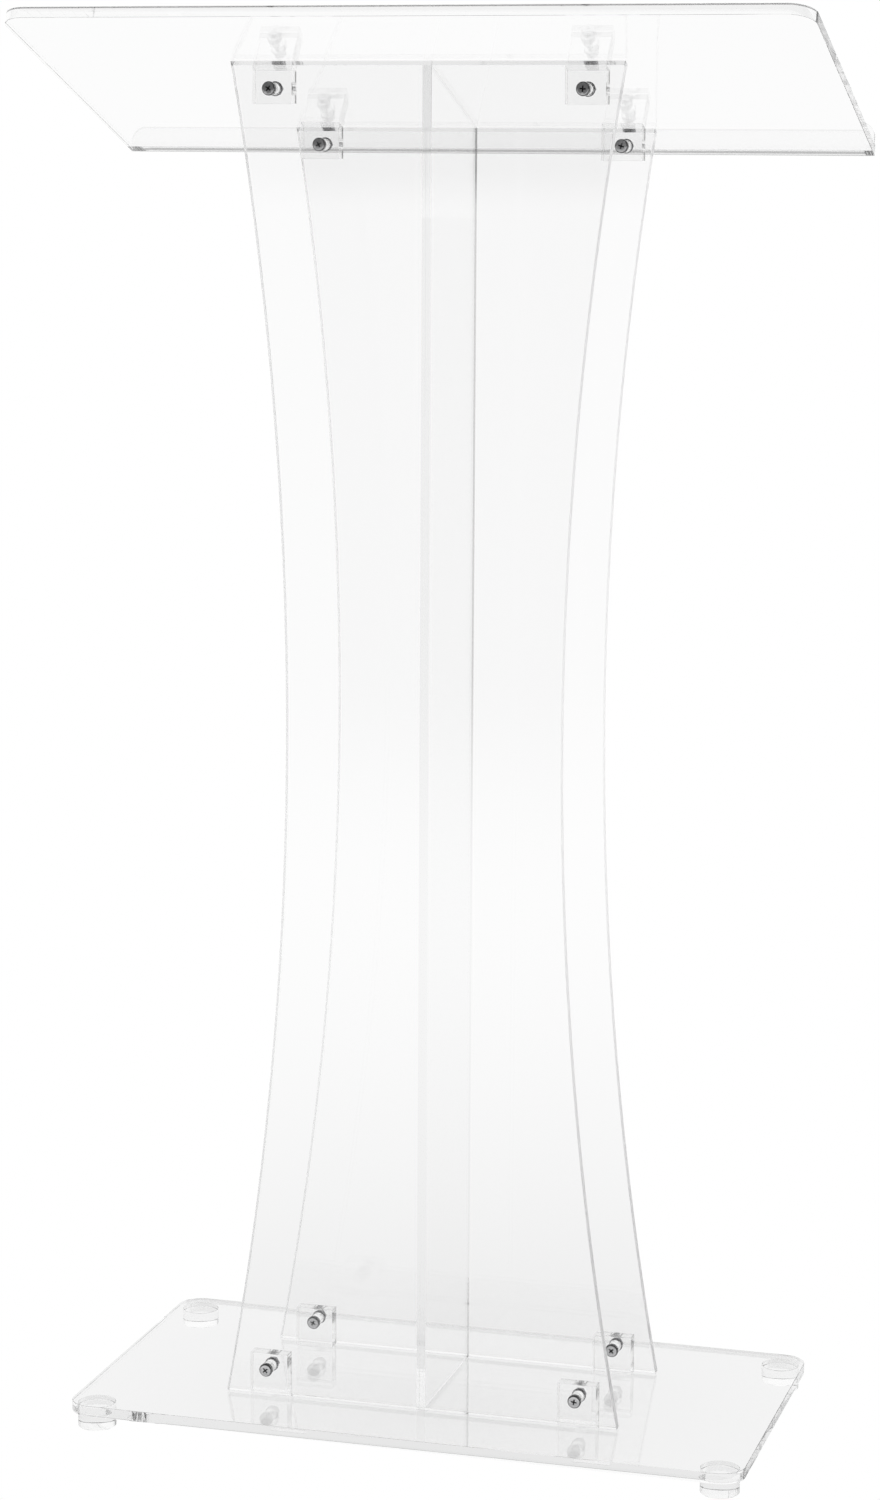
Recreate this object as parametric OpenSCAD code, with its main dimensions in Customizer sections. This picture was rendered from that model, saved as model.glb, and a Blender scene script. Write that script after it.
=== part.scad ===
// Clear acrylic presentation lectern.
// Two waisted panels and a centre rib form an open column on a footed base plate.
// The panels are screwed to clear blocks cemented under the shelf and onto the base.
// The audience is on the -Y side, the presenter on the +Y side, and Z = 0 is the floor.
// Left and right are as seen from the audience side. All sizes are in millimetres.

/* [Shelf] */
// Width of the sloping reading shelf
shelf_width = 686; // [560:2:760]
// Depth of the reading shelf, measured along its slope
shelf_depth = 331; // [300:0.5:350]
// Angle at which the shelf falls towards the presenter, in degrees
shelf_slope = 19.4; // [12:0.2:24]
// Height above the floor of the shelf's raised edge, measured to its underside
shelf_edge_height = 1231.5; // [1100:0.5:1300]
// Distance from the middle of the column to the shelf's raised edge
shelf_reach = 176.5; // [165:0.5:190]
// Radius of the shelf's two corners on the audience side
shelf_front_corner = 22; // [5:1:40]
// Radius of the shelf's two corners on the presenter side
shelf_rear_corner = 1; // [1:0.5:20]

/* [Page stop] */
// Height of the page stop above the top of the shelf
stop_height = 19; // [10:0.5:25]
// Thickness of the page stop
stop_thickness = 6; // [4:0.5:9.5]
// Radius of the page stop's two upper corners
stop_corner = 12; // [2:0.5:14]

/* [Column] */
// Distance between the outer faces of the front and rear panels
column_depth = 163.5; // [130:0.5:200]
// Width of the panels at their waist
waist_width = 245.6; // [220:0.2:290]
// Height of the waist above the floor
waist_height = 634.5; // [500:0.5:800]
// Radius of the hollow curve of the panels' sides
side_radius = 3305; // [2800:5:5000]
// Thickness of the centre rib
rib_thickness = 8; // [5:0.5:12]

/* [Base] */
// Width of the base plate
base_width = 610; // [480:1:700]
// Depth of the base plate, from audience side to presenter side
base_depth = 317.5; // [280:0.5:350]
// Radius of the base plate's four corners
base_corner = 22; // [5:1:60]
// Thickness of the shelf, the base plate and both panels
sheet = 9.5; // [8:0.5:12]

/* [Feet] */
// Diameter of each foot
foot_diameter = 34; // [20:1:38]
// Height of each foot
foot_height = 15; // [8:0.5:25]
// Distance from the base plate's edges to the centre of each foot
foot_inset = 22; // [20:0.5:60]
// Rounding of each foot's lower rim
foot_rim = 1; // [0.5:0.25:3]

/* [Blocks] */
// Width of each joining block
block_width = 35; // [28:0.5:44]
// Depth of each joining block, from the panel inwards
block_depth = 12.7; // [10:0.1:20]
// Height of the four blocks on the base plate
base_block_height = 35.5; // [32:0.5:45]
// Height of the four blocks under the shelf, on their taller face
shelf_block_height = 32; // [28:0.5:45]
// Distance between the screw axes of the left and right base blocks
base_block_span = 284; // [240:1:290]
// Distance between the screw axes of the left and right shelf blocks
shelf_block_span = 272.5; // [230:0.5:280]
// Height of the screw axis above the bottom of a base block
base_screw_height = 23; // [12:0.5:24]
// Height of the screw axis above the bottom of a shelf block
shelf_screw_height = 12.5; // [10:0.5:15]

/* [Screws, washers and nuts] */
// Diameter of the clearance holes through the panels and blocks
hole_diameter = 10.5; // [6.5:0.1:11.5]
// Diameter of the screw's shank
screw_diameter = 6; // [4:0.1:6]
// Length of the screw below its head
screw_length = 30; // [29:0.5:36]
// Diameter of the pan head
head_diameter = 12; // [11.6:0.1:14]
// Height of the pan head
head_height = 4.2; // [3.4:0.1:5]
// Rounding of the pan head's rim
head_rim = 1.6; // [0.5:0.1:3]
// Width across the arms of the cross recess
recess_width = 6.8; // [4:0.1:8]
// Width of each arm of the cross recess
recess_arm = 1.4; // [0.8:0.1:2]
// Depth of the cross recess
recess_depth = 2; // [1:0.1:3]
// Outer diameter of the washer between the block or panel and the nut
washer_diameter = 12.5; // [12:0.1:14]
// Thickness of the washer
washer_thickness = 1.2; // [0.6:0.1:1.6]
// Width across the flats of the hexagon nut
nut_flats = 10; // [9:0.1:12]
// Thickness of the hexagon nut
nut_thickness = 5; // [3:0.1:5]
// Diametral clearance between the screw and the hole of the washer
washer_clearance = 0.4; // [0.2:0.05:0.8]
// Diametral clearance between the screw and the bore of the nut
nut_clearance = 0.12; // [0.05:0.01:0.3]

/* [Hidden] */

// Roundness of small circles, and of the long side curves
$fn = 96;
side_fn = 1440;

// Directions used for the corners of the lectern
LEFT = -1;
RIGHT = 1;
FRONT = -1;
REAR = 1;

// Room by which a cutting shape runs past what it cuts
spare = 20;

// Heights above the floor
base_under = foot_height;
base_top = foot_height + sheet;

// The column's inner faces, either side of its middle
inner_face = column_depth / 2 - sheet;

// The overall outline is centred on the origin, and the shelf reaches past the base
shelf_rear_reach = shelf_depth * cos(shelf_slope) + sheet * sin(shelf_slope) - shelf_reach;
front_reach = max(shelf_reach, base_depth / 2);
rear_reach = max(base_depth / 2, shelf_rear_reach);
column_y = (front_reach - rear_reach) / 2;

// Colours
acrylic = [0.90, 0.93, 0.94, 0.45];
acrylic_block = [0.80, 0.86, 0.88, 0.6];
steel = [0.55, 0.56, 0.58];

// Height of the shelf's underside at a distance y from the middle of the column
function shelf_under(y) = shelf_edge_height - (y + shelf_reach) * tan(shelf_slope);

// Height of the lower end of a block under the shelf, front or rear. The taller face
// of a block is the one nearer the audience.
function tall_face(end) = end == FRONT ? -inner_face : inner_face - block_depth;
function shelf_block_bottom(end) = shelf_under(tall_face(end)) - shelf_block_height;

// Heights of the screw axes
base_screw_axis = base_top + base_screw_height;
function shelf_screw_axis(end) = shelf_block_bottom(end) + shelf_screw_height;

// Where a screw's head seats, as a distance from the middle of the column. Each head
// faces the audience, on the front panel and on the rear blocks.
function head_seat(end) = end == FRONT ? -column_depth / 2 : inner_face - block_depth;
grip = sheet + block_depth;
function nut_seat(end) = head_seat(end) + grip + washer_thickness;

// Puts a shape drawn about the middle of the column into the lectern's own frame
module on_column() {
    translate([0, column_y, 0]) children();
}

// Puts a shape drawn on the shelf's underside, with +Y down the slope, into place
module on_shelf() {
    on_column()
        translate([0, -shelf_reach, shelf_edge_height])
            rotate([-shelf_slope, 0, 0]) children();
}

// Everything above the shelf's underside
module above_shelf() {
    on_shelf()
        translate([-shelf_width, -shelf_depth, 0])
            cube([2 * shelf_width, 3 * shelf_depth, shelf_depth]);
}

// Turns a shape drawn along +Z so that it runs along +Y from the point given
module along_y(x, y, z) {
    translate([x, y, z]) rotate([-90, 0, 0]) children();
}

// A rectangle in the XY plane, from y = 0, with its own radius at the near and far corners
module rounded_outline(width, depth, near, far) {
    difference() {
        translate([-width / 2, 0]) square([width, depth]);
        for (side = [LEFT, RIGHT]) {
            corner_waste(side * width / 2, 0, side, -1, near);
            corner_waste(side * width / 2, depth, side, 1, far);
        }
    }
}

// The waste that a rounded corner takes off a square one
module corner_waste(x, y, x_side, y_side, radius) {
    translate([x, y]) scale([x_side, y_side]) difference() {
        translate([-radius, -radius]) square(radius + 1);
        translate([-radius, -radius]) circle(r = radius);
    }
}

// Holes through a panel or a block, all along Y
module screw_holes(y, length, end) {
    for (side = [LEFT, RIGHT]) {
        along_y(side * base_block_span / 2, y, base_screw_axis)
            cylinder(d = hole_diameter, h = length);
        along_y(side * shelf_block_span / 2, y, shelf_screw_axis(end))
            cylinder(d = hole_diameter, h = length);
    }
}

// The waisted outline of a panel, drawn with its height along Y
module waisted_outline() {
    difference() {
        translate([-shelf_width / 2, base_top])
            square([shelf_width, shelf_edge_height - base_top]);
        for (side = [LEFT, RIGHT])
            translate([side * (waist_width / 2 + side_radius), waist_height])
                circle(r = side_radius, $fn = side_fn);
    }
}

// A waisted panel standing on the base, cut to the slope of the shelf
module panel(end) {
    y_start = end == FRONT ? -column_depth / 2 : inner_face;
    difference() {
        on_column()
            translate([0, y_start + sheet, 0]) rotate([90, 0, 0])
                linear_extrude(sheet) waisted_outline();
        above_shelf();
        on_column() screw_holes(y_start - spare / 2, sheet + spare, end);
    }
}

module reading_shelf() {
    color(acrylic) on_shelf()
        linear_extrude(sheet)
            rounded_outline(shelf_width, shelf_depth, shelf_front_corner, shelf_rear_corner);
}

module page_stop() {
    color(acrylic) on_shelf()
        translate([0, shelf_depth, sheet]) rotate([90, 0, 0])
            linear_extrude(stop_thickness)
                rounded_outline(shelf_width - 2 * shelf_rear_corner, stop_height, 0.01, stop_corner);
}

module front_panel() {
    color(acrylic) panel(FRONT);
}

module rear_panel() {
    color(acrylic) panel(REAR);
}

module centre_rib() {
    color(acrylic) difference() {
        on_column()
            translate([-rib_thickness / 2, -inner_face, base_top])
                cube([rib_thickness, 2 * inner_face, shelf_edge_height - base_top]);
        above_shelf();
    }
}

module base_plate() {
    color(acrylic) on_column()
        translate([0, -base_depth / 2, base_under])
            linear_extrude(sheet)
                rounded_outline(base_width, base_depth, base_corner, base_corner);
}

// A round foot, cemented under one corner of the base plate
module foot(side, end) {
    radius = foot_diameter / 2;
    color(acrylic_block) on_column()
        translate([side * (base_width / 2 - foot_inset), end * (base_depth / 2 - foot_inset), 0])
            rotate_extrude() {
                translate([0, foot_rim]) square([radius, foot_height - foot_rim]);
                square([radius - foot_rim, foot_rim]);
                translate([radius - foot_rim, foot_rim]) intersection() {
                    circle(r = foot_rim);
                    translate([0, -foot_rim]) square(foot_rim);
                }
            }
}

// The near face of a block, as a distance from the middle of the column
function block_start(end) = end == FRONT ? -inner_face : inner_face - block_depth;

// A drilled block on the base plate, against the inside of a panel
module base_block(side, end) {
    color(acrylic_block) on_column() difference() {
        translate([side * base_block_span / 2 - block_width / 2, block_start(end), base_top])
            cube([block_width, block_depth, base_block_height]);
        screw_holes(block_start(end) - spare / 2, block_depth + spare, end);
    }
}

// A drilled block under the shelf, with its top cut to the shelf's slope
module shelf_block(side, end) {
    color(acrylic_block) difference() {
        on_column()
            translate([side * shelf_block_span / 2 - block_width / 2, block_start(end),
                       shelf_block_bottom(end)])
                cube([block_width, block_depth, shelf_block_height + spare]);
        above_shelf();
        on_column() screw_holes(block_start(end) - spare / 2, block_depth + spare, end);
    }
}

// A pan-head machine screw with a cross recess. Its head seats at z = 0, below its shank.
module pan_screw() {
    radius = head_diameter / 2;
    difference() {
        union() {
            cylinder(d = screw_diameter, h = screw_length);
            mirror([0, 0, 1]) rotate_extrude() {
                square([radius, head_height - head_rim]);
                square([radius - head_rim, head_height]);
                translate([radius - head_rim, head_height - head_rim]) intersection() {
                    circle(r = head_rim);
                    square(head_rim);
                }
            }
        }
        for (turn = [0, 90])
            rotate([0, 0, turn])
                translate([-recess_width / 2, -recess_arm / 2, -head_height - 1])
                    cube([recess_width, recess_arm, recess_depth + 1]);
    }
}

// A flat washer on the screw's own axis from z = 0, wide enough to bridge the hole
module flat_washer() {
    difference() {
        cylinder(d = washer_diameter, h = washer_thickness);
        translate([0, 0, -1])
            cylinder(d = screw_diameter + washer_clearance, h = washer_thickness + 2);
    }
}

// A hexagon nut with its corners turned off, on the screw's own axis from z = 0
module hex_nut() {
    corners = nut_flats / cos(30);
    corner_slope = (corners - nut_flats) / 2 * tan(30);
    difference() {
        intersection() {
            cylinder(d = corners, h = nut_thickness, $fn = 6);
            rotate_extrude()
                polygon([
                    [0, 0],
                    [nut_flats / 2, 0],
                    [corners / 2, corner_slope],
                    [corners / 2, nut_thickness - corner_slope],
                    [nut_flats / 2, nut_thickness],
                    [0, nut_thickness]
                ]);
        }
        translate([0, 0, -1])
            cylinder(d = screw_diameter + nut_clearance, h = nut_thickness + 2);
    }
}

module base_screw(side, end) {
    color(steel) on_column()
        along_y(side * base_block_span / 2, head_seat(end), base_screw_axis) pan_screw();
}

module shelf_screw(side, end) {
    color(steel) on_column()
        along_y(side * shelf_block_span / 2, head_seat(end), shelf_screw_axis(end)) pan_screw();
}

module base_washer(side, end) {
    color(steel) on_column()
        along_y(side * base_block_span / 2, head_seat(end) + grip, base_screw_axis)
            flat_washer();
}

module shelf_washer(side, end) {
    color(steel) on_column()
        along_y(side * shelf_block_span / 2, head_seat(end) + grip, shelf_screw_axis(end))
            flat_washer();
}

module base_nut(side, end) {
    color(steel) on_column()
        along_y(side * base_block_span / 2, nut_seat(end), base_screw_axis) hex_nut();
}

module shelf_nut(side, end) {
    color(steel) on_column()
        along_y(side * shelf_block_span / 2, nut_seat(end), shelf_screw_axis(end)) hex_nut();
}

reading_shelf();
page_stop();
front_panel();
rear_panel();
centre_rib();
base_plate();
foot(LEFT, FRONT);  // foot_front_left
foot(RIGHT, FRONT);  // foot_front_right
foot(LEFT, REAR);  // foot_rear_left
foot(RIGHT, REAR);  // foot_rear_right
base_block(LEFT, FRONT);  // base_block_front_left
base_block(RIGHT, FRONT);  // base_block_front_right
base_block(LEFT, REAR);  // base_block_rear_left
base_block(RIGHT, REAR);  // base_block_rear_right
shelf_block(LEFT, FRONT);  // shelf_block_front_left
shelf_block(RIGHT, FRONT);  // shelf_block_front_right
shelf_block(LEFT, REAR);  // shelf_block_rear_left
shelf_block(RIGHT, REAR);  // shelf_block_rear_right
base_screw(LEFT, FRONT);  // base_screw_front_left
base_screw(RIGHT, FRONT);  // base_screw_front_right
base_screw(LEFT, REAR);  // base_screw_rear_left
base_screw(RIGHT, REAR);  // base_screw_rear_right
shelf_screw(LEFT, FRONT);  // shelf_screw_front_left
shelf_screw(RIGHT, FRONT);  // shelf_screw_front_right
shelf_screw(LEFT, REAR);  // shelf_screw_rear_left
shelf_screw(RIGHT, REAR);  // shelf_screw_rear_right
base_washer(LEFT, FRONT);  // base_washer_front_left
base_washer(RIGHT, FRONT);  // base_washer_front_right
base_washer(LEFT, REAR);  // base_washer_rear_left
base_washer(RIGHT, REAR);  // base_washer_rear_right
shelf_washer(LEFT, FRONT);  // shelf_washer_front_left
shelf_washer(RIGHT, FRONT);  // shelf_washer_front_right
shelf_washer(LEFT, REAR);  // shelf_washer_rear_left
shelf_washer(RIGHT, REAR);  // shelf_washer_rear_right
base_nut(LEFT, FRONT);  // base_nut_front_left
base_nut(RIGHT, FRONT);  // base_nut_front_right
base_nut(LEFT, REAR);  // base_nut_rear_left
base_nut(RIGHT, REAR);  // base_nut_rear_right
shelf_nut(LEFT, FRONT);  // shelf_nut_front_left
shelf_nut(RIGHT, FRONT);  // shelf_nut_front_right
shelf_nut(LEFT, REAR);  // shelf_nut_rear_left
shelf_nut(RIGHT, REAR);  // shelf_nut_rear_right
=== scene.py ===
"""Looks of a clear acrylic presentation lectern: polished sheet, blocks and feet, steel screws.

Units are metres. The audience is on the -Y side and the presenter on the +Y side.
"""
import math

import bmesh
import bpy
from mathutils import Euler, Matrix, Vector


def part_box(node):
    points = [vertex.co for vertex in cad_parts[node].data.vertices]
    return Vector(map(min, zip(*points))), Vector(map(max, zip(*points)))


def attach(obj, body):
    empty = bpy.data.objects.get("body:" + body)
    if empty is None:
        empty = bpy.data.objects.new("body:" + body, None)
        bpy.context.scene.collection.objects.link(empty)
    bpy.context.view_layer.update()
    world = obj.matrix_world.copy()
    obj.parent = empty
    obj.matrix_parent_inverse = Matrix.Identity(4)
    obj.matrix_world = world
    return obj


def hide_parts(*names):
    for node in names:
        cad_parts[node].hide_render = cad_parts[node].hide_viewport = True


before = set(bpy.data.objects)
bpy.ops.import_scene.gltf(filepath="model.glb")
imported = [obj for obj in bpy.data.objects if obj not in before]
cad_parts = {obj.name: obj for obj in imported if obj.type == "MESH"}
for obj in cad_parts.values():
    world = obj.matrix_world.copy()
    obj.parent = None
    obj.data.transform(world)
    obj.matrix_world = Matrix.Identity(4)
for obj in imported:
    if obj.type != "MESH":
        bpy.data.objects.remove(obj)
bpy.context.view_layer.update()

MM = 0.001
LEVELS = ("base", "shelf")
ENDS = ("front", "rear")
SIDES = ("left", "right")

# ---------------------------------------------------------------- driving sizes
# Shapes that a node's box doesn't tell
SHELF_SLOPE = math.radians(19.4)
SHELF_DEPTH = 331 * MM
SHELF_FRONT_CORNER = 22 * MM
SHELF_REAR_CORNER = 1 * MM
STOP_THICKNESS = 6 * MM
STOP_CORNER = 12 * MM
STOP_LOWER_CORNER = 0.2 * MM
BASE_CORNER = 22 * MM
WAIST_HALF_WIDTH = 122.8 * MM
WAIST_HEIGHT = 634.5 * MM
SIDE_RADIUS = 3.305
HOLE_RADIUS = 5.25 * MM
SCREW_RADIUS = 3.0 * MM
THREAD_PITCH = 1.0 * MM
HEAD_HEIGHT = 4.2 * MM
RECESS_WIDTH = 6.8 * MM
RECESS_ARM = 1.4 * MM
RECESS_DEPTH = 2.0 * MM
# How much of its length and width each arm of the recess keeps at its floor
RECESS_TAPER = (0.55, 0.75)
HEAD_RIM = 1.6 * MM
THREAD_DEPTH = 0.35 * MM
PLAIN_NECK = 0.6 * MM
ROWS_PER_THREAD = 8
NUT_CHAMFER = math.radians(30)
# How many degrees each screw ended up turned when it was tightened
SCREW_TURNS = {
    "base_front_left": 50, "base_front_right": 10, "base_rear_left": 27, "base_rear_right": 45,
    "shelf_front_left": 35, "shelf_front_right": 4, "shelf_rear_left": 62, "shelf_rear_right": 18,
}

# Polished edges of the acrylic, and the nearly sharp ones that butt against a piece
EDGE_BREAK = 0.3 * MM
BUTT_BREAK = 0.12 * MM
HOLE_BREAK = 0.3 * MM
EDGE_STEPS = 2
SHARP_ANGLE = math.radians(14)
KEEN_ANGLE = math.radians(56)
# A strip below the upper edge along the shelf's front carries painted shade, darker than the rest
SHADE_STRIP = 1.6 * MM
# How much of a face's normal must point to the front, or to a side, for it to face that way
FRONT_FACING = 0.3
SIDE_FACING = 0.5
# Points closer than this count as being in one place
NEAR = 0.001 * MM
# Air between pieces that are only screwed together, and the bond of cemented ones
AIR_GAP = 0.08 * MM
BOND_LAP = 0.04 * MM

base_lo, base_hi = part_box("base_plate")
front_lo, front_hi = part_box("front_panel")
rear_lo, rear_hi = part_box("rear_panel")
shelf_lo, shelf_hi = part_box("reading_shelf")
SHEET = base_hi.z - base_lo.z
COLUMN_Y = (front_lo.y + rear_hi.y) / 2

# The shelf's underside along its raised edge, with local Y down the slope and Z up from it
SHELF_PLACE = (
    Matrix.Translation((0, shelf_lo.y, shelf_hi.z - SHEET * math.cos(SHELF_SLOPE)))
    @ Matrix.Rotation(-SHELF_SLOPE, 4, "X")
)
SHELF_NORMAL = (SHELF_PLACE.to_3x3() @ Vector((0, 0, 1))).normalized()

# Each maps a drawing in X and Y, built up along Z: to one that stands in X and Z and runs along
# Y, and to one that stands in Y and Z and runs along X
UPRIGHT = Matrix(((1, 0, 0, 0), (0, 0, 1, 0), (0, 1, 0, 0), (0, 0, 0, 1)))
SIDEWAYS = Matrix(((0, 0, 1, 0), (1, 0, 0, 0), (0, 1, 0, 0), (0, 0, 0, 1)))


# ---------------------------------------------------------------- mesh tools
def arc(x, y, radius, start, end, steps=16):
    """Points of an arc from one angle to another, in degrees."""
    turns = [math.radians(start + (end - start) * i / steps) for i in range(steps + 1)]
    return [(x + radius * math.cos(t), y + radius * math.sin(t)) for t in turns]


def rounded_outline(width, depth, near, far):
    """A rectangle from y = 0, with its own corner radius at the near and the far end."""
    half = width / 2
    return (
        arc(half - near, near, near, -90, 0)
        + arc(half - far, depth - far, far, 0, 90)
        + arc(far - half, depth - far, far, 90, 180)
        + arc(near - half, near, near, 180, 270)
    )


def waisted_outline(bottom, top, steps=64):
    """A panel's outline in X and Z: hollow sides on a large radius, narrowest at the waist."""
    def half_width(z):
        reach = math.sqrt(SIDE_RADIUS**2 - (z - WAIST_HEIGHT) ** 2)
        return WAIST_HALF_WIDTH + SIDE_RADIUS - reach

    heights = [bottom + (top - bottom) * i / steps for i in range(steps + 1)]
    right = [(half_width(z), z) for z in heights]
    return right + [(-x, z) for x, z in reversed(right)]


def finish_mesh(name, bm):
    """Turns a bmesh into an object whose sharp edges look sharp and round faces look round."""
    bmesh.ops.recalc_face_normals(bm, faces=bm.faces)
    for face in bm.faces:
        face.smooth = True
    mesh = bpy.data.meshes.new(name)
    bm.to_mesh(mesh)
    bm.free()
    mesh.set_sharp_from_angle(angle=SHARP_ANGLE)
    piece = bpy.data.objects.new(name, mesh)
    bpy.context.scene.collection.objects.link(piece)
    return piece


def on_plane(edge, plane):
    """Whether an edge lies on a plane, which is given by a point and its normal."""
    point, normal = plane
    return all(abs((v.co - point).dot(normal)) < NEAR for v in edge.verts)


def sharp_edges(bm, angle):
    return [e for e in bm.edges if len(e.link_faces) == 2 and e.calc_face_angle() > angle]


def round_over(bm, edges, width, steps):
    bmesh.ops.bevel(bm, geom=edges, offset=width, segments=steps, profile=0.5,
                    affect="EDGES", clamp_overlap=True)


def break_edges(bm, width, butts=()):
    """Rounds the sharp edges over slightly, as polishing does, and less where pieces butt."""
    free = [e for e in sharp_edges(bm, SHARP_ANGLE)
            if not any(on_plane(e, plane) for plane in butts)]
    round_over(bm, free, width, EDGE_STEPS)
    keen = [e for e in sharp_edges(bm, KEEN_ANGLE)
            if any(on_plane(e, plane) for plane in butts)]
    round_over(bm, keen, BUTT_BREAK, 1)


def mark_strip(bm, top, inset):
    """Marks the part of the front edge within the inset below the top plane for painted shade."""
    point, normal = top
    line = point - normal * inset
    bmesh.ops.bisect_plane(bm, geom=bm.verts[:] + bm.edges[:] + bm.faces[:],
                           plane_co=line, plane_no=normal)
    dark = bm.faces.layers.float.new("dark")
    for face in bm.faces:
        above = (face.calc_center_median() - line).dot(normal) > 0
        upright = abs(face.normal.dot(normal)) < FRONT_FACING
        face[dark] = 1 if above and upright and face.normal.y < -FRONT_FACING else 0


def mark_sides(piece):
    """Marks a panel's long side faces as roughly polished."""
    mesh = piece.data
    rough = mesh.attributes.new("rough", "FLOAT", "FACE")
    for face in mesh.polygons:
        outer = abs(face.center.x) > WAIST_HALF_WIDTH - EDGE_BREAK
        rough.data[face.index].value = 1 if outer and abs(face.normal.x) > SIDE_FACING else 0


def extruded(outline, thickness):
    """A solid of the outline given, from z = 0 up to its thickness."""
    bm = bmesh.new()
    face = bm.faces.new([bm.verts.new((x, y, 0)) for x, y in outline])
    grown = bmesh.ops.extrude_face_region(bm, geom=[face])
    raised = [v for v in grown["geom"] if isinstance(v, bmesh.types.BMVert)]
    bmesh.ops.translate(bm, verts=raised, vec=(0, 0, thickness))
    return bm


def slab(outline, thickness, place=Matrix.Identity(4), cut_plane=None, butts=()):
    """A plate of the outline given, cut off above cut_plane, with polished edges."""
    bm = extruded(outline, thickness)
    bm.transform(place)
    bmesh.ops.recalc_face_normals(bm, faces=bm.faces)
    if cut_plane:
        point, normal = cut_plane
        cut = bmesh.ops.bisect_plane(bm, geom=bm.verts[:] + bm.edges[:] + bm.faces[:],
                                     plane_co=point, plane_no=normal, clear_outer=True)
        rim = [e for e in cut["geom_cut"] if isinstance(e, bmesh.types.BMEdge)]
        bmesh.ops.contextual_create(bm, geom=rim)
        butts = [*butts, cut_plane]
    break_edges(bm, EDGE_BREAK, butts)
    return bm


def lathe(profile, steps=48):
    """A closed solid of revolution about Z. The profile runs up from one axis point to another."""
    bm = bmesh.new()
    rings = []
    for radius, z in profile:
        if radius < NEAR:
            rings.append([bm.verts.new((0, 0, z))])
            continue
        turns = [2 * math.pi * i / steps for i in range(steps)]
        rings.append([bm.verts.new((radius * math.cos(t), radius * math.sin(t), z))
                      for t in turns])
    for low, high in zip(rings, rings[1:]):
        for i in range(steps):
            j = (i + 1) % steps
            corners = [low[i % len(low)], low[j % len(low)],
                       high[j % len(high)], high[i % len(high)]]
            bm.faces.new(list(dict.fromkeys(corners)))
    return bm


def merge_near_points(mesh):
    """Closes the hairline slits that a cut can leave where several edges meet."""
    bm = bmesh.new()
    bm.from_mesh(mesh)
    bmesh.ops.remove_doubles(bm, verts=bm.verts, dist=NEAR)
    bm.to_mesh(mesh)
    bm.free()


def carve(piece, cutters, operation="DIFFERENCE"):
    """Cuts objects out of a piece, or combines them with it another way, and removes them."""
    for cutter in cutters:
        change = piece.modifiers.new("carve", "BOOLEAN")
        change.operation = operation
        change.solver = "EXACT"
        change.object = cutter
    bpy.context.view_layer.update()
    evaluated = piece.evaluated_get(bpy.context.evaluated_depsgraph_get())
    mesh = bpy.data.meshes.new_from_object(evaluated)
    piece.modifiers.clear()
    piece.data = mesh
    for cutter in cutters:
        bpy.data.objects.remove(cutter)
    merge_near_points(mesh)
    mesh.set_sharp_from_angle(angle=SHARP_ANGLE)
    return piece


def screw_axis(level, end, side):
    """The X and Z of a screw's axis."""
    lo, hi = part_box(f"{level}_screw_{end}_{side}")
    return (lo.x + hi.x) / 2, (lo.z + hi.z) / 2


def hole_cutter(axis, start, end):
    """A drill along Y whose two ends flare, so that the hole's rims come out chamfered."""
    spare = 3 * MM
    wide = HOLE_RADIUS + HOLE_BREAK + spare
    length = end - start
    profile = [
        (0, -spare), (wide, -spare), (HOLE_RADIUS, HOLE_BREAK),
        (HOLE_RADIUS, length - HOLE_BREAK), (wide, length + spare), (0, length + spare),
    ]
    bm = lathe(profile, steps=72)
    x, z = axis
    bm.transform(Matrix.Translation((x, start, z)) @ Matrix.Rotation(-math.pi / 2, 4, "X"))
    return finish_mesh("drill", bm)


def add_piece(piece, node, material):
    """Puts a finished piece in place of its CAD node."""
    piece.name = node + "_look"
    piece.data.materials.clear()
    piece.data.materials.append(material)
    flats = piece.modifiers.new("flat faces stay flat", "WEIGHTED_NORMAL")
    flats.weight = 100
    flats.keep_sharp = True
    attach(piece, "root")
    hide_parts(node)


# ---------------------------------------------------------------- materials
ACRYLIC_IOR = 1.49
# What a sheet lets through where it would throw a shadow
SHADOW_CLEARNESS = 0.94
SCUFF_ROUGHNESS = 0.02
SCUFF_SPAN = (0.55, 0.85)
# The panels' long hollow sides are sawn and only roughly polished
SIDE_ROUGHNESS = 0.4
# Colour of the painted shade along the shelf's front edge
SHADE_STRIP_LEVEL = 0.2
WAVE_SCALE = 9
WAVE_HEIGHT = 0.2 * MM
# Turning marks on the steel make its colour, gloss and relief vary
TURNING_SCALE = 900
TURNING_HEIGHT = 0.02 * MM
TURNING_STRENGTH = 0.15
TURNING_TONE = 0.8
TURNING_GLOSS = 0.4
STEEL_BLUE = 0.01
# A screw head carries painted shade in its recess, between these heights and within this radius
HEAD_SHADE_LEVEL = 0.02
RECESS_TOP = (0.1 * MM - HEAD_HEIGHT, 0.5 * MM - HEAD_HEIGHT)
RECESS_FLOOR = (-0.9 * MM, -0.6 * MM)
RECESS_REACH = (0.52 * RECESS_WIDTH, 0.54 * RECESS_WIDTH)
# It carries nearly as much painted shade beyond this radius, down to its seat
RIM_SHADE = 0.8
RIM_REACH = (4.7 * MM, 5.2 * MM)
HEAD_SEAT = (-0.04 * MM, 0)


def new_material(name):
    material = bpy.data.materials.new(name)
    material.use_nodes = True
    tree = material.node_tree
    tree.nodes.clear()
    return material, tree


def link(tree, source, target):
    """Feeds a socket from another one, or sets it to a plain value."""
    if isinstance(source, bpy.types.NodeSocket):
        tree.links.new(source, target)
    else:
        target.default_value = source


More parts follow.
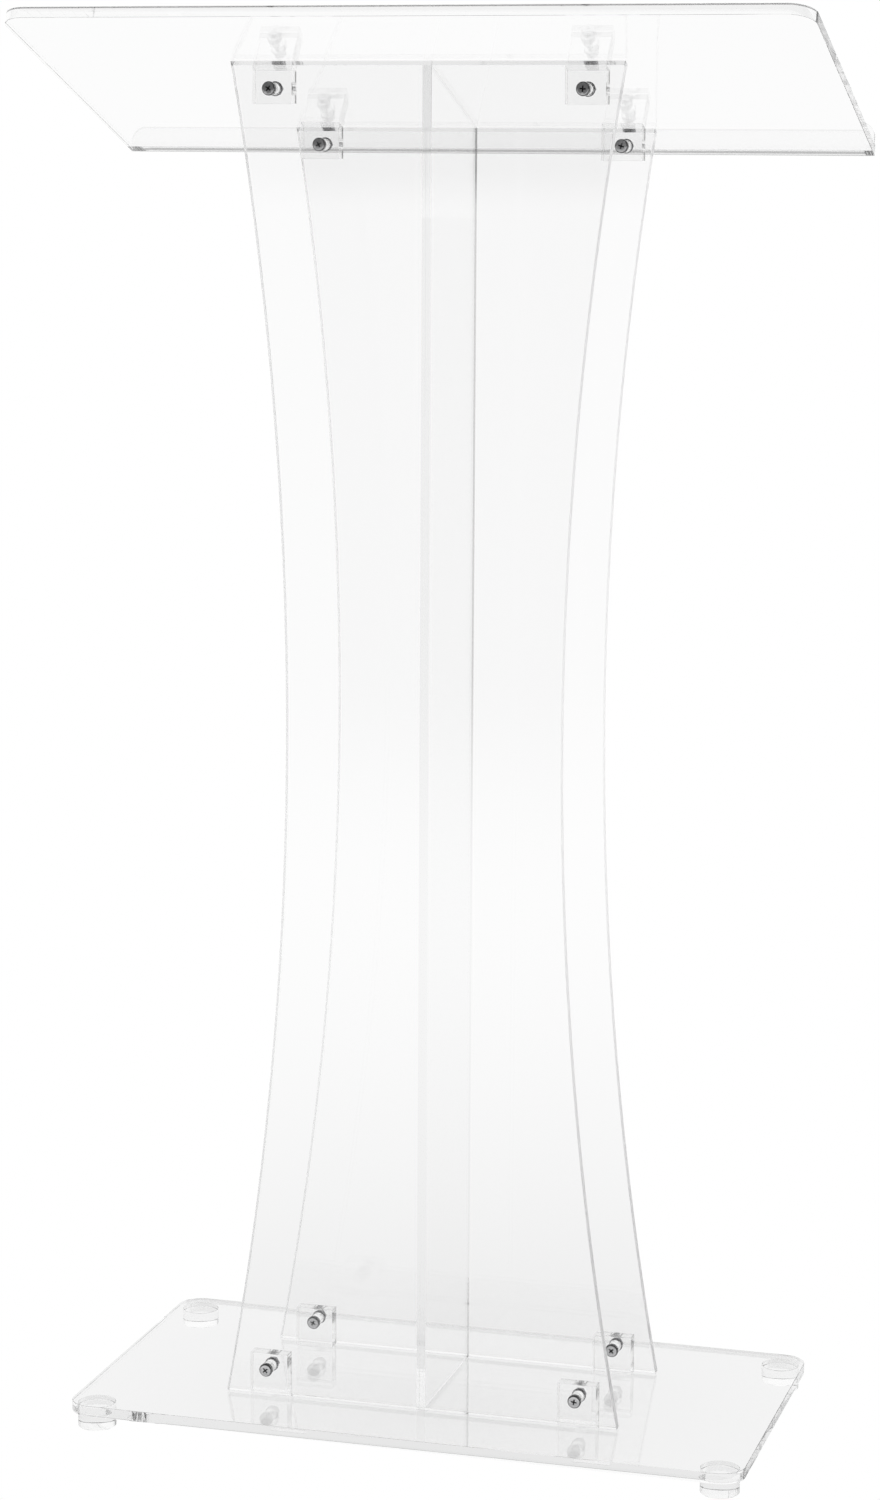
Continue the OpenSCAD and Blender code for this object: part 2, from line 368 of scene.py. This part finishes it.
def ramp(tree, value, span, levels, smooth=True):
    """Takes a value from one level to another across a span, as a smooth step or evenly."""
    node = tree.nodes.new("ShaderNodeMapRange")
    node.interpolation_type = "SMOOTHSTEP" if smooth else "LINEAR"
    link(tree, value, node.inputs["Value"])
    link(tree, span[0], node.inputs["From Min"])
    link(tree, span[1], node.inputs["From Max"])
    link(tree, levels[0], node.inputs["To Min"])
    link(tree, levels[1], node.inputs["To Max"])
    return node.outputs["Result"]


def blend(tree, factor, first, second, kind="FLOAT"):
    """Mixes two values, or two colours where the kind is RGBA, by a third value."""
    node = tree.nodes.new("ShaderNodeMix")
    node.data_type = kind
    link(tree, factor, node.inputs["Factor"])
    link(tree, first, node.inputs["A"])
    link(tree, second, node.inputs["B"])
    return node.outputs["Result"]


def reckon(tree, operation, first, second):
    """Combines two values by a math node's operation."""
    node = tree.nodes.new("ShaderNodeMath")
    node.operation = operation
    link(tree, first, node.inputs[0])
    link(tree, second, node.inputs[1])
    return node.outputs["Value"]


def vector_length(tree, vector):
    node = tree.nodes.new("ShaderNodeVectorMath")
    node.operation = "LENGTH"
    link(tree, vector, node.inputs[0])
    return node.outputs["Value"]


def noise(tree, position, scale, detail):
    node = tree.nodes.new("ShaderNodeTexNoise")
    node.inputs["Scale"].default_value = scale
    node.inputs["Detail"].default_value = detail
    link(tree, position, node.inputs["Vector"])
    return node.outputs["Fac"]


def bumped(tree, height, strength, distance):
    """A surface normal that a height map makes uneven."""
    node = tree.nodes.new("ShaderNodeBump")
    node.inputs["Strength"].default_value = strength
    node.inputs["Distance"].default_value = distance
    link(tree, height, node.inputs["Height"])
    return node.outputs["Normal"]


def face_mark(tree, name):
    """One on the faces that a mesh marks under the name given, and zero on all others."""
    node = tree.nodes.new("ShaderNodeAttribute")
    node.attribute_name = name
    return node.outputs["Fac"]


def grey(level):
    return (level, level, level, 1)


def acrylic(name, clearness, waviness, scuff_scale):
    """Clear cast acrylic: refracting, with faint sheet waves and fine handling marks."""
    material, tree = new_material(name)
    nodes = tree.nodes
    place = nodes.new("ShaderNodeTexCoord").outputs["Object"]
    body = nodes.new("ShaderNodeBsdfPrincipled")
    body.inputs["Transmission Weight"].default_value = 1
    body.inputs["IOR"].default_value = ACRYLIC_IOR

    scuffs = noise(tree, place, scuff_scale, detail=6)
    polish = ramp(tree, scuffs, SCUFF_SPAN, (0, SCUFF_ROUGHNESS), smooth=False)
    roughness = blend(tree, face_mark(tree, "rough"), polish, SIDE_ROUGHNESS)
    link(tree, roughness, body.inputs["Roughness"])

    # Painted shade: the marked strip of the shelf's front edge is coloured dark grey
    strip = face_mark(tree, "dark")
    colour = blend(tree, strip, grey(clearness), grey(SHADE_STRIP_LEVEL), "RGBA")
    link(tree, colour, body.inputs["Base Color"])

    waves = noise(tree, place, WAVE_SCALE, detail=1)
    link(tree, bumped(tree, waves, waviness, WAVE_HEIGHT), body.inputs["Normal"])

    shade = nodes.new("ShaderNodeBsdfTransparent")
    shade.inputs["Color"].default_value = grey(SHADOW_CLEARNESS)
    ray = nodes.new("ShaderNodeLightPath")
    mix = nodes.new("ShaderNodeMixShader")
    out = nodes.new("ShaderNodeOutputMaterial")
    link(tree, ray.outputs["Is Shadow Ray"], mix.inputs["Fac"])
    link(tree, body.outputs["BSDF"], mix.inputs[1])
    link(tree, shade.outputs["BSDF"], mix.inputs[2])
    link(tree, mix.outputs["Shader"], out.inputs["Surface"])
    return material


def painted_shade_parts(tree, position):
    """Where a screw head carries painted shade: one in its recess, nearly one on its rim and flank,
    and zero elsewhere.
    """
    split = tree.nodes.new("ShaderNodeSeparateXYZ")
    link(tree, position, split.inputs["Vector"])
    height = split.outputs["Z"]
    across = tree.nodes.new("ShaderNodeVectorMath")
    across.operation = "MULTIPLY"
    across.inputs[1].default_value = (1, 1, 0)
    link(tree, position, across.inputs[0])
    radius = vector_length(tree, across.outputs["Vector"])

    under_face = ramp(tree, height, RECESS_TOP, (0, 1))
    over_floor = ramp(tree, height, RECESS_FLOOR, (1, 0))
    within = ramp(tree, radius, RECESS_REACH, (1, 0))
    recess = reckon(tree, "MULTIPLY", reckon(tree, "MULTIPLY", under_face, over_floor), within)

    on_head = ramp(tree, height, HEAD_SEAT, (1, 0))
    outer = ramp(tree, radius, RIM_REACH, (0, RIM_SHADE))
    return reckon(tree, "MAXIMUM", recess, reckon(tree, "MULTIPLY", on_head, outer))


def plated_steel(name, level, roughness):
    """Bright plated steel with fine turning marks, with painted shade in the head's recess and on
    its rim and flank.
    """
    material, tree = new_material(name)
    nodes = tree.nodes
    place = nodes.new("ShaderNodeTexCoord").outputs["Object"]
    body = nodes.new("ShaderNodeBsdfPrincipled")
    body.inputs["Metallic"].default_value = 1
    marks = noise(tree, place, TURNING_SCALE, detail=4)

    bright = (level, level, level + STEEL_BLUE, 1)
    darker = (*[part * TURNING_TONE for part in bright[:3]], 1)
    tone = blend(tree, marks, darker, bright, "RGBA")
    # Painted shade: the head's recess, rim and flank are coloured nearly black
    colour = blend(tree, painted_shade_parts(tree, place), tone, grey(HEAD_SHADE_LEVEL), "RGBA")
    link(tree, colour, body.inputs["Base Color"])

    glossy, rougher = roughness * (1 - TURNING_GLOSS), roughness * (1 + TURNING_GLOSS)
    gloss = ramp(tree, marks, (0, 1), (glossy, rougher), smooth=False)
    link(tree, gloss, body.inputs["Roughness"])
    link(tree, bumped(tree, marks, TURNING_STRENGTH, TURNING_HEIGHT), body.inputs["Normal"])

    out = nodes.new("ShaderNodeOutputMaterial")
    link(tree, body.outputs["BSDF"], out.inputs["Surface"])
    return material


sheet_look = acrylic("clear_sheet_look", clearness=0.999, waviness=0.002, scuff_scale=40)
block_look = acrylic("clear_block_look", clearness=0.995, waviness=0.004, scuff_scale=120)
foot_look = acrylic("clear_foot_look", clearness=0.995, waviness=0.004, scuff_scale=120)
screw_look = plated_steel("screw_steel_look", level=0.75, roughness=0.09)
nut_look = plated_steel("nut_steel_look", level=0.18, roughness=0.22)


# ---------------------------------------------------------------- acrylic sheet
def make_shelf():
    width = shelf_hi.x - shelf_lo.x
    outline = rounded_outline(width, SHELF_DEPTH, SHELF_FRONT_CORNER, SHELF_REAR_CORNER)
    stop_end = (SHELF_PLACE @ Vector((0, SHELF_DEPTH, 0)), SHELF_PLACE.to_3x3() @ Vector((0, 1, 0)))
    top = (SHELF_PLACE @ Vector((0, 0, SHEET)), SHELF_NORMAL)
    bm = slab(outline, SHEET, SHELF_PLACE, butts=[stop_end])
    mark_strip(bm, top, SHADE_STRIP)
    piece = finish_mesh("shelf", bm)
    add_piece(piece, "reading_shelf", sheet_look)


def make_page_stop():
    lo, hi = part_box("page_stop")
    fall = (SHELF_DEPTH - STOP_THICKNESS) * math.sin(SHELF_SLOPE)
    rise = (hi.z + fall - SHELF_PLACE.translation.z) / math.cos(SHELF_SLOPE)
    height = rise - SHEET + BOND_LAP
    outline = rounded_outline(hi.x - lo.x, height, STOP_LOWER_CORNER, STOP_CORNER)
    place = (SHELF_PLACE @ Matrix.Translation((0, SHELF_DEPTH - STOP_THICKNESS, SHEET - BOND_LAP))
             @ UPRIGHT)
    on_shelf = (SHELF_PLACE @ Vector((0, 0, SHEET - BOND_LAP)), SHELF_NORMAL)
    piece = finish_mesh("stop", slab(outline, STOP_THICKNESS, place, butts=[on_shelf]))
    add_piece(piece, "page_stop", sheet_look)


def make_panel(node, lo, hi):
    outline = waisted_outline(lo.z + AIR_GAP, hi.z + SHEET)
    under = SHELF_PLACE.translation - SHELF_NORMAL * AIR_GAP
    place = Matrix.Translation((0, lo.y, 0)) @ UPRIGHT
    foot_plane = (Vector((0, 0, lo.z + AIR_GAP)), Vector((0, 0, 1)))
    bm = slab(outline, hi.y - lo.y, place, (under, SHELF_NORMAL), butts=[foot_plane])
    piece = finish_mesh(node, bm)
    end = node.split("_")[0]
    carve(piece, [hole_cutter(screw_axis(level, end, side), lo.y, hi.y)
                  for level in LEVELS for side in SIDES])
    mark_sides(piece)
    add_piece(piece, node, sheet_look)


def make_rib():
    lo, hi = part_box("centre_rib")
    outline = [(lo.y + AIR_GAP, lo.z + AIR_GAP), (hi.y - AIR_GAP, lo.z + AIR_GAP),
               (hi.y - AIR_GAP, hi.z + SHEET), (lo.y + AIR_GAP, hi.z + SHEET)]
    place = Matrix.Translation((lo.x, 0, 0)) @ SIDEWAYS
    under = SHELF_PLACE.translation - SHELF_NORMAL * AIR_GAP
    along_y, along_z = Vector((0, 1, 0)), Vector((0, 0, 1))
    butts = [
        (Vector((0, lo.y + AIR_GAP, 0)), along_y),
        (Vector((0, hi.y - AIR_GAP, 0)), along_y),
        (Vector((0, 0, lo.z + AIR_GAP)), along_z),
    ]
    bm = slab(outline, hi.x - lo.x, place, (under, SHELF_NORMAL), butts=butts)
    add_piece(finish_mesh("rib", bm), "centre_rib", sheet_look)


def make_base_plate():
    outline = rounded_outline(base_hi.x - base_lo.x, base_hi.y - base_lo.y,
                              BASE_CORNER, BASE_CORNER)
    place = Matrix.Translation((0, base_lo.y, base_lo.z))
    piece = finish_mesh("base", slab(outline, SHEET, place))
    add_piece(piece, "base_plate", sheet_look)


# ---------------------------------------------------------------- blocks and feet
def make_block(level, end, side):
    node = f"{level}_block_{end}_{side}"
    lo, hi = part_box(node)
    lo, hi = lo.copy(), hi.copy()
    if end == "front":
        lo.y += AIR_GAP
    else:
        hi.y -= AIR_GAP
    cut_plane = None
    if level == "base":
        lo.z -= BOND_LAP
        top = hi.z
    else:
        top = hi.z + SHEET
        cut_plane = (SHELF_PLACE.translation + SHELF_NORMAL * BOND_LAP, SHELF_NORMAL)
    outline = [(lo.x, lo.z), (hi.x, lo.z), (hi.x, top), (lo.x, top)]
    place = Matrix.Translation((0, lo.y, 0)) @ UPRIGHT
    butts = [(Vector((0, 0, lo.z)), Vector((0, 0, 1)))] if level == "base" else []
    piece = finish_mesh(node, slab(outline, hi.y - lo.y, place, cut_plane, butts=butts))
    carve(piece, [hole_cutter(screw_axis(level, end, side), lo.y, hi.y)])
    add_piece(piece, node, block_look)


def make_foot(end, side):
    node = f"foot_{end}_{side}"
    lo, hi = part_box(node)
    radius, rim = (hi.x - lo.x) / 2, 1.0 * MM
    height = hi.z - lo.z
    lower = arc(radius - rim, rim, rim, -90, 0, steps=5)
    upper = arc(radius - rim / 2, height - rim / 2, rim / 2, 0, 90, steps=4)
    bm = lathe([(0, 0)] + lower + upper + [(0, height)], steps=96)
    bm.transform(Matrix.Translation(((lo.x + hi.x) / 2, (lo.y + hi.y) / 2, lo.z + BOND_LAP)))
    add_piece(finish_mesh(node, bm), node, foot_look)


# ---------------------------------------------------------------- screws and nuts
def screw_mesh():
    """A pan-head screw along Z, its head seated at z = 0 and reaching below."""
    lo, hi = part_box("base_screw_front_left")
    radius, length = (hi.x - lo.x) / 2, (hi.y - lo.y) - HEAD_HEIGHT
    crown = arc(radius - HEAD_RIM, HEAD_RIM - HEAD_HEIGHT, HEAD_RIM, -90, 0, steps=8)
    bm = lathe([(0, -HEAD_HEIGHT)] + crown + [(radius, -AIR_GAP), (0, -AIR_GAP)], steps=96)
    head = finish_mesh("head", bm)
    carve(head, [recess_arm(turn) for turn in (0, 90)])
    return carve(head, [threaded_shank(length)], "UNION")


def recess_arm(turn):
    """One bar of the cross recess, tapering towards its floor."""
    bm = bmesh.new()
    bmesh.ops.create_cube(bm, size=1)
    for v in bm.verts:
        if v.co.z > 0:
            v.co.x *= RECESS_TAPER[0]
            v.co.y *= RECESS_TAPER[1]
    size = Matrix.Diagonal((RECESS_WIDTH, RECESS_ARM, 2 * RECESS_DEPTH, 1))
    bm.transform(Matrix.Rotation(math.radians(turn), 4, "Z")
                 @ Matrix.Translation((0, 0, -HEAD_HEIGHT)) @ size)
    return finish_mesh("recess", bm)


def threaded_shank(length, steps=32):
    """A shank whose rings swell and shrink along a helix, with a plain neck and a lead-in."""
    rows = int(length / THREAD_PITCH * ROWS_PER_THREAD)
    start = -2 * AIR_GAP
    bm = bmesh.new()
    rings = []
    for r in range(rows + 1):
        z = start + (length - start) * r / rows
        ring = []
        for i in range(steps):
            turn = i / steps
            phase = (z / THREAD_PITCH - turn) % 1
            crest = 1 - abs(2 * phase - 1)
            fade_in = min(1, max(0, (z - PLAIN_NECK) / THREAD_PITCH))
            fade_out = min(1, (length - z) / THREAD_PITCH)
            size = SCREW_RADIUS - THREAD_DEPTH * (1 - crest * fade_in * fade_out)
            angle = turn * 2 * math.pi
            ring.append(bm.verts.new((size * math.cos(angle), size * math.sin(angle), z)))
        rings.append(ring)
    for low, high in zip(rings, rings[1:]):
        for i in range(steps):
            j = (i + 1) % steps
            bm.faces.new((low[i], low[j], high[j], high[i]))
    bm.faces.new(rings[0])
    bm.faces.new(rings[-1])
    return finish_mesh("shank", bm)


def washer_mesh():
    """A flat washer on Z from z = 0, with its stamped edge rounded on one side."""
    lo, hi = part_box("base_washer_front_left")
    radius, thickness = (hi.x - lo.x) / 2, hi.y - lo.y - AIR_GAP
    rim = 0.3 * MM
    burr = 0.1 * MM
    bore = SCREW_RADIUS + 0.2 * MM
    lower = [(0, AIR_GAP), (radius - burr, AIR_GAP), (radius, AIR_GAP + burr)]
    upper = arc(radius - rim, thickness - rim, rim, 0, 90, steps=4)
    bm = lathe(lower + upper + [(0, thickness)], steps=72)
    washer = finish_mesh("washer", bm)
    drill = lathe([(0, -thickness), (bore, -thickness), (bore, 3 * thickness), (0, 3 * thickness)])
    return carve(washer, [finish_mesh("drill", drill)])


def nut_mesh():
    """A hexagon nut on Z from z = 0, corners turned off on both faces."""
    lo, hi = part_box("base_nut_front_left")
    flats, thickness = hi.z - lo.z, hi.y - lo.y
    corners = flats / math.cos(math.pi / 6)
    turns = [i * math.pi / 3 for i in range(6)]
    outline = [(corners / 2 * math.cos(t), corners / 2 * math.sin(t)) for t in turns]
    nut = finish_mesh("nut", extruded(outline, thickness))
    # The cone that turns the corners off runs from just within the flats to past the corners
    inset = 0.48 * flats
    past = 0.51 * corners
    rise = (past - inset) * math.tan(NUT_CHAMFER)
    top = thickness - 0.02 * MM
    turned = lathe([(0, AIR_GAP), (inset, AIR_GAP), (past, AIR_GAP + rise),
                    (past, thickness - rise), (inset, top), (0, top)], steps=96)
    carve(nut, [finish_mesh("turned", turned)], "INTERSECT")
    bore = SCREW_RADIUS + 0.03 * MM
    flare = 0.4 * MM
    drill = lathe([(0, -flare), (bore + 2 * flare, -flare), (bore, flare),
                   (bore, thickness - flare), (bore + 2 * flare, thickness + flare),
                   (0, thickness + flare)])
    return carve(nut, [finish_mesh("drill", drill)])


def place_copies(pattern, kind, material):
    """Puts one shared mesh at each of the eight places of its kind, along Y."""
    mesh = pattern.data
    seat = HEAD_HEIGHT if kind == "screw" else 0
    for level in LEVELS:
        for end in ENDS:
            for side in SIDES:
                node = f"{level}_{kind}_{end}_{side}"
                lo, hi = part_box(node)
                turn = SCREW_TURNS[f"{level}_{end}_{side}"] if kind == "screw" else 0
                piece = bpy.data.objects.new(node, mesh)
                bpy.context.scene.collection.objects.link(piece)
                piece.matrix_world = (
                    Matrix.Translation(((lo.x + hi.x) / 2, lo.y + seat, (lo.z + hi.z) / 2))
                    @ Matrix.Rotation(-math.pi / 2, 4, "X")
                    @ Matrix.Rotation(math.radians(turn), 4, "Z")
                )
                add_piece(piece, node, material)
    bpy.data.objects.remove(pattern)


make_shelf()
make_page_stop()
make_panel("front_panel", front_lo, front_hi)
make_panel("rear_panel", rear_lo, rear_hi)
make_rib()
make_base_plate()
for end in ENDS:
    for side in SIDES:
        make_foot(end, side)
        make_block("base", end, side)
        make_block("shelf", end, side)
place_copies(screw_mesh(), "screw", screw_look)
place_copies(washer_mesh(), "washer", nut_look)
place_copies(nut_mesh(), "nut", nut_look)


# ---------------------------------------------------------------- studio
# Brightness of the studio, where 1 is white paper. Straight through the acrylic there is white
# paper on every side. Reflections also show the darker room behind the camera.
WHITE = 1.0
PAPER_MIRRORED = 0.94
ROOM_BELOW_HORIZON = 0.55
ROOM_ABOVE_HORIZON = 0.14
CEILING = 0.05
WINDOW = 0.36
# How much of the window's light is left straight overhead
WINDOW_OVERHEAD = 0.15
# Where one brightness turns into the next: metres of Y on the paper, and elsewhere the part of
# a direction that points up or, for the backdrop, away from the camera
PAPER_SPAN = (-4.5, -1.8)
HORIZON_SPAN = (-0.02, -0.006)
WINDOW_SPAN = (0.4, 0.6)
OVERHEAD_SPAN = (0.75, 0.95)
CEILING_SPAN = (0.5, 0.75)
BACKDROP_SPAN = (-0.15, 0.35)
# The paper's glow is a little darker around the lectern, a painted shade, within a reach in metres
SHADE_DEPTH = 0.2
SHADE_REACH = 0.8
PAPER_SIZE = 60.0
PAPER_MIDDLE_Y = 20.0

# The photo's camera: to the right of the middle, level with the shelf's lower edge
CAMERA_PLACE = (0.8575, COLUMN_Y - 3.0225, base_hi.z + 1.1074)
CAMERA_YAW = math.radians(15.964)
CAMERA_PITCH = math.radians(-9.544)
CAMERA_ROLL = math.radians(0.307)
CAMERA_LENS = 86.85
SENSOR_WIDTH = 36

# Enough for light to cross every sheet that can stand one behind the other
CLEAR_BOUNCES = 64
SHADOW_BOUNCES = 32
DIFFUSE_BOUNCES = 4


def fade(tree, distance, depth, reach):
    """White, less a shade of the given depth that dies away exponentially with distance."""
    left = reckon(tree, "POWER", math.exp(-1 / reach), distance)
    return reckon(tree, "ADD", reckon(tree, "MULTIPLY", left, -depth), WHITE)


def seen_level(tree, straight, mirrored):
    """The level for rays that came straight or by a reflection, and white seen directly."""
    ray = tree.nodes.new("ShaderNodeLightPath")
    level = blend(tree, ray.outputs["Glossy Depth"], straight, mirrored)
    return blend(tree, ray.outputs["Is Camera Ray"], level, WHITE)


def make_floor():
    """White paper with a painted shade around the lectern and, in reflections, towards the room;
    clear from below.

    The underside of the lectern can then be looked at.
    """
    bpy.ops.mesh.primitive_plane_add(size=PAPER_SIZE, location=(0, PAPER_MIDDLE_Y, 0))
    floor = bpy.context.object
    floor.name = "floor"
    material, tree = new_material("floor_look")
    nodes = tree.nodes
    place = nodes.new("ShaderNodeNewGeometry")
    split = nodes.new("ShaderNodeSeparateXYZ")
    link(tree, place.outputs["Position"], split.inputs["Vector"])
    distance = vector_length(tree, place.outputs["Position"])
    # Painted shade: the paper's glow dips near the lectern
    straight = fade(tree, distance, SHADE_DEPTH, SHADE_REACH)
    # Painted shade: in reflections the paper's glow falls towards the room's level in front
    lit = ramp(tree, split.outputs["Y"], PAPER_SPAN, (ROOM_BELOW_HORIZON, PAPER_MIRRORED))
    mirrored = reckon(tree, "MULTIPLY", straight, lit)
    glow = nodes.new("ShaderNodeEmission")
    link(tree, seen_level(tree, straight, mirrored), glow.inputs["Strength"])
    clear = nodes.new("ShaderNodeBsdfTransparent")
    one_sided = nodes.new("ShaderNodeMixShader")
    link(tree, place.outputs["Backfacing"], one_sided.inputs["Fac"])
    link(tree, glow.outputs["Emission"], one_sided.inputs[1])
    link(tree, clear.outputs["BSDF"], one_sided.inputs[2])
    out = nodes.new("ShaderNodeOutputMaterial")
    link(tree, one_sided.outputs["Shader"], out.inputs["Surface"])
    floor.data.materials.append(material)


def make_world():
    """A white backdrop under a dark ceiling, and in reflections a dark room behind the camera."""
    world = bpy.data.worlds.new("studio")
    bpy.context.scene.world = world
    world.use_nodes = True
    tree = world.node_tree
    nodes = tree.nodes
    nodes.clear()
    place = nodes.new("ShaderNodeTexCoord")
    split = nodes.new("ShaderNodeSeparateXYZ")
    link(tree, place.outputs["Generated"], split.inputs["Vector"])
    back, up = split.outputs["Y"], split.outputs["Z"]

    backdrop = ramp(tree, up, CEILING_SPAN, (WHITE, CEILING))
    horizon = ramp(tree, up, HORIZON_SPAN, (ROOM_BELOW_HORIZON, ROOM_ABOVE_HORIZON))
    window = ramp(tree, up, WINDOW_SPAN, (0, WINDOW))
    overhead = ramp(tree, up, OVERHEAD_SPAN, (1, WINDOW_OVERHEAD))
    room = reckon(tree, "ADD", horizon, reckon(tree, "MULTIPLY", window, overhead))
    towards_backdrop = ramp(tree, back, BACKDROP_SPAN, (0, 1))
    mirrored = blend(tree, towards_backdrop, room, backdrop)

    sky = nodes.new("ShaderNodeBackground")
    sky.inputs["Color"].default_value = grey(WHITE)
    link(tree, seen_level(tree, backdrop, mirrored), sky.inputs["Strength"])
    out = nodes.new("ShaderNodeOutputWorld")
    link(tree, sky.outputs["Background"], out.inputs["Surface"])


def make_camera():
    camera = bpy.data.objects.new("camera", bpy.data.cameras.new("camera"))
    bpy.context.scene.collection.objects.link(camera)
    camera.data.lens = CAMERA_LENS
    camera.data.sensor_width = SENSOR_WIDTH
    camera.location = CAMERA_PLACE
    aim = Euler((math.pi / 2 + CAMERA_PITCH, 0, CAMERA_YAW)).to_matrix()
    camera.rotation_euler = (aim @ Euler((0, 0, CAMERA_ROLL)).to_matrix()).to_euler()
    bpy.context.scene.camera = camera


make_floor()
make_world()
make_camera()

scene = bpy.context.scene
scene.view_settings.view_transform = "Standard"
scene.cycles.max_bounces = CLEAR_BOUNCES
scene.cycles.transmission_bounces = CLEAR_BOUNCES
scene.cycles.glossy_bounces = CLEAR_BOUNCES
scene.cycles.diffuse_bounces = DIFFUSE_BOUNCES
scene.cycles.transparent_max_bounces = SHADOW_BOUNCES
